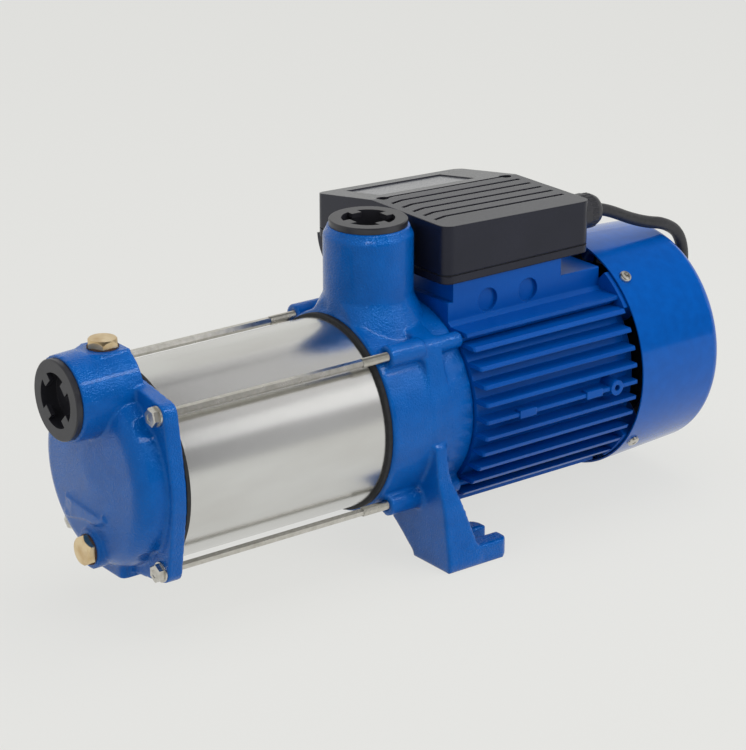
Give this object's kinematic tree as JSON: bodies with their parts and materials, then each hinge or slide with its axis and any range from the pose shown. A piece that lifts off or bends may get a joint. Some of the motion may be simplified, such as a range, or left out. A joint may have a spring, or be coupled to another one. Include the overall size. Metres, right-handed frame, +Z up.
{
  "type": "multistage surface pump",
  "caption": "Horizontal multistage surface pump: steel pump sleeve between a suction casing and a bracket with the upright outlet, and a finned electric motor behind on the same shaft.",
  "frame": {"origin": "on the floor under the shaft, midway along the two feet", "axes": "+X along the shaft from the suction port to the motor fan, +Z up along the discharge port's axis"},
  "size_m": [0.475, 0.3124, 0.2095],
  "materials": {
    "painted_casting": "satin",
    "painted_alloy": "satin",
    "painted_sheet": "satin",
    "stainless_sheet": "satin",
    "zinc_plated_steel": "satin",
    "turned_steel": "satin",
    "brass_plug": "satin",
    "washer_fibre": "matte",
    "gasket_rubber": "matte",
    "cap_plastic": "satin",
    "box_plastic": "satin",
    "stage_plastic": "satin",
    "impeller_plastic": "satin",
    "seal_ceramic": "polished",
    "seal_carbon": "matte",
    "bearing_steel": "polished",
    "laminated_steel": "matte",
    "copper_winding": "satin",
    "fan_plastic": "matte",
    "terminal_plastic": "satin",
    "capacitor_can": "satin",
    "gland_plastic": "satin",
    "cord_rubber": "matte",
    "plug_rubber": "matte",
    "plug_pin_brass": "polished"
  },
  "bodies": {
    "frame": {"bearing_wave_washer": "bearing_steel", "cable_gland_body": "gland_plastic", "cable_gland_nut": "gland_plastic", "fan_cover": "painted_sheet", "fan_cover_screws": "zinc_plated_steel", "front_bearing_outer": "bearing_steel", "front_gasket": "gasket_rubber", "inlet_plate": "stainless_sheet", "motor_housing": "painted_alloy", "motor_tie_bolts": "zinc_plated_steel", "plug_body": "plug_rubber", "plug_pins": "plug_pin_brass", "plug_washers": "washer_fibre", "power_cord": "cord_rubber", "power_cord_coil": "cord_rubber", "power_cord_tail": "cord_rubber", "pump_bracket": "painted_casting", "pump_sleeve": "stainless_sheet", "rear_bearing_outer": "bearing_steel", "rear_end_shield": "painted_alloy", "rear_gasket": "gasket_rubber", "run_capacitor": "capacitor_can", "seal_seat": "seal_ceramic", "sleeve_tie_bolts": "zinc_plated_steel", "stage_casing_1": "stage_plastic", "stage_casing_2": "stage_plastic", "stage_casing_3": "stage_plastic", "stage_casing_4": "stage_plastic", "stage_casing_5": "stage_plastic", "stator_core": "laminated_steel", "stator_windings": "copper_winding", "suction_casing": "painted_casting", "terminal_block": "terminal_plastic", "terminal_box_base": "box_plastic", "terminal_box_cover": "box_plastic", "terminal_box_gasket": "gasket_rubber", "terminal_box_screws": "zinc_plated_steel", "tie_bolt_washers": "zinc_plated_steel"},
    "rotor": {"pump_shaft": "turned_steel", "impeller_key": "turned_steel", "impeller_1": "impeller_plastic", "impeller_2": "impeller_plastic", "impeller_3": "impeller_plastic", "impeller_4": "impeller_plastic", "impeller_5": "impeller_plastic", "impeller_spacers": "turned_steel", "shaft_nut": "zinc_plated_steel", "seal_head": "seal_carbon", "seal_bellows": "gasket_rubber", "slinger_ring": "gasket_rubber", "front_bearing_inner": "bearing_steel", "rear_bearing_inner": "bearing_steel", "rotor_core": "laminated_steel", "cooling_fan": "fan_plastic", "fan_circlip": "turned_steel"},
    "suction_cap": {"suction_port_cap": "cap_plastic"},
    "discharge_cap": {"discharge_port_cap": "cap_plastic"},
    "priming_screw": {"priming_plug": "brass_plug"},
    "drain_screw": {"drain_plug": "brass_plug"}
  },
  "joints": [
    {"name": "rotor_spin", "type": "hinge", "parent": "frame", "child": "rotor", "pos_m": [0, 0, 0.09], "axis": [1, 0, 0], "continuous": true},
    {"name": "suction_cap_unscrew", "type": "slide", "parent": "frame", "child": "suction_cap", "axis": [-1, 0, 0], "range_m": [0, 0.08]},
    {"name": "discharge_cap_unscrew", "type": "slide", "parent": "frame", "child": "discharge_cap", "axis": [0, 0, 1], "range_m": [0, 0.08]},
    {"name": "priming_plug_unscrew", "type": "slide", "parent": "frame", "child": "priming_screw", "axis": [0, 0, 1], "range_m": [0, 0.03]},
    {"name": "drain_plug_unscrew", "type": "slide", "parent": "frame", "child": "drain_screw", "axis": [-1, 0, 0], "range_m": [0, 0.03]}
  ]
}
